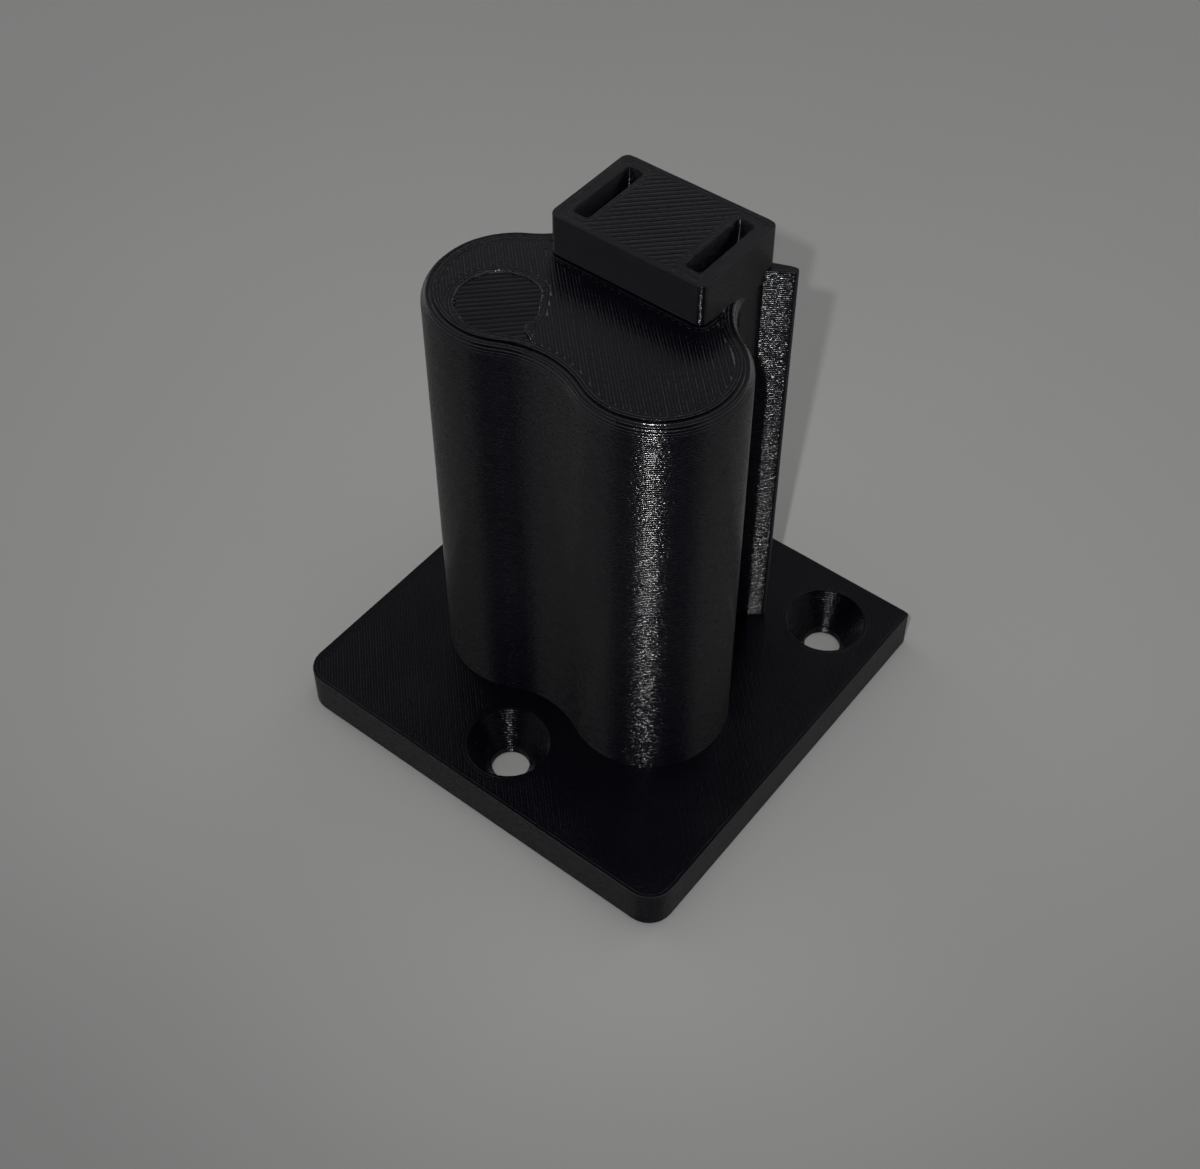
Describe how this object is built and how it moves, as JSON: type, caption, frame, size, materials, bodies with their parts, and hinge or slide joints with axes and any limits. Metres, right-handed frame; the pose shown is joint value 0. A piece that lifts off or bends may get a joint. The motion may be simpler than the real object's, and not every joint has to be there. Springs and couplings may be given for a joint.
{
  "type": "power tool wall mount",
  "caption": "One-piece printed wall mount: a countersunk screw plate carries a three-lobed stem with a slotted head and side rails, onto which a cordless tool's battery socket slides.",
  "frame": {"origin": "middle of the plate's underside, the face that lies on the wall", "axes": "+Z out of the plate along the stem, +X to the right and +Y towards the plate's square-cornered rear edge, with the two front lobes towards -Y"},
  "size_m": [0.06, 0.0592, 0.0734],
  "materials": {
    "printed_black": "black filament as printed, satin, with fine horizontal layer lines on the walls and diagonal lines on the top faces"
  },
  "bodies": {
    "root": {"tool_mount": "printed_black"}
  },
  "joints": []
}
